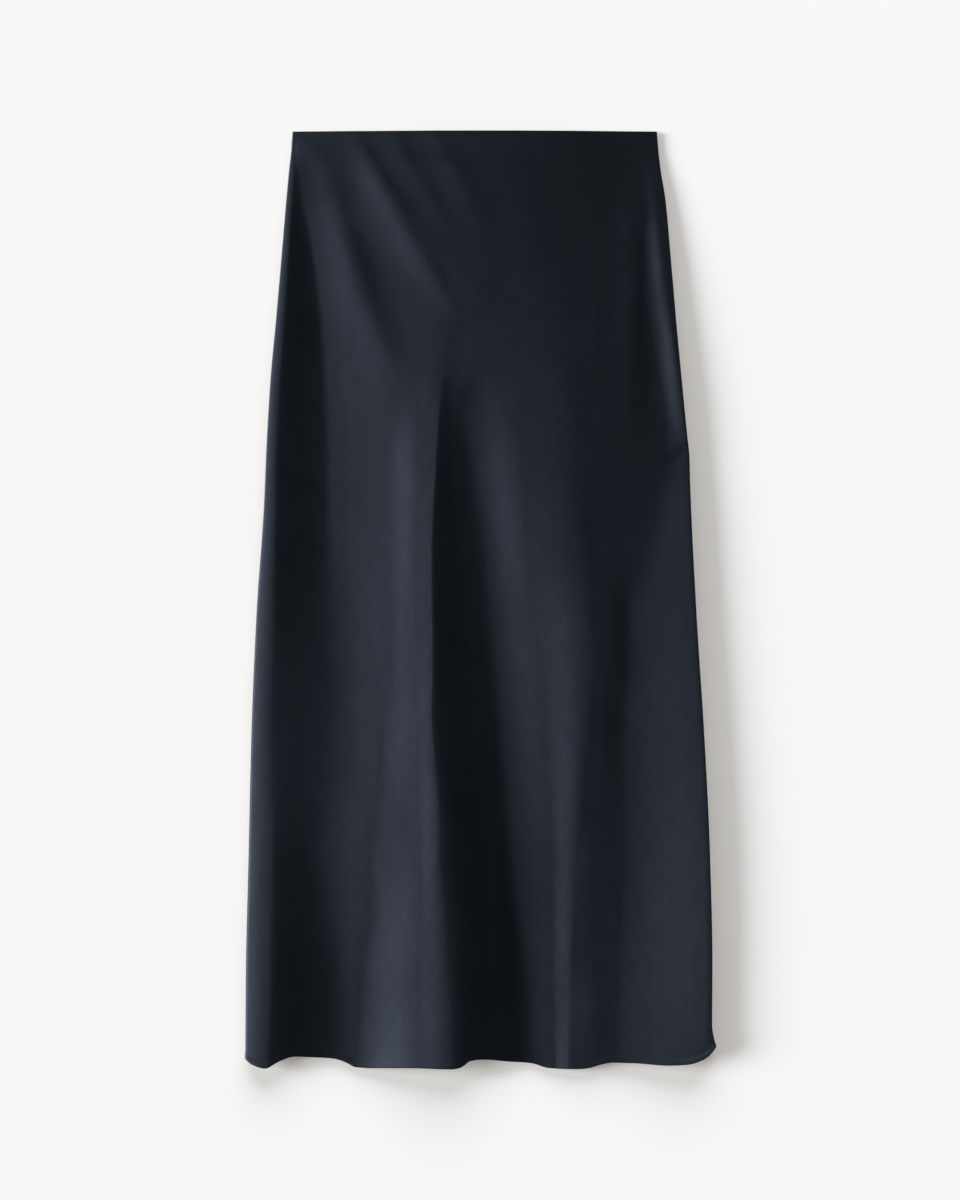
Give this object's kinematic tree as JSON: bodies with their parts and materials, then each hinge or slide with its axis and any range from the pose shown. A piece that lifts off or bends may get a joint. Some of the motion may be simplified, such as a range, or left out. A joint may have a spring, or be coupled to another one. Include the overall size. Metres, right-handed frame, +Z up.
{
  "type": "midi slip skirt",
  "caption": "Bias-cut satin midi slip skirt laid flat, with a narrow waistband and soft long folds that open out at the hem",
  "frame": {"origin": "middle of the skirt's outline, on the surface that it lies on", "axes": "+X to the right of the skirt as seen from above, +Y along its length towards the waist, +Z up from the surface"},
  "size_m": [0.445, 0.889, 0.0251],
  "materials": {
    "front_satin": "satin",
    "back_satin": "satin",
    "band_satin": "satin"
  },
  "bodies": {
    "root": {"front_panel": "front_satin", "back_panel": "back_satin", "waistband": "band_satin"}
  },
  "joints": []
}
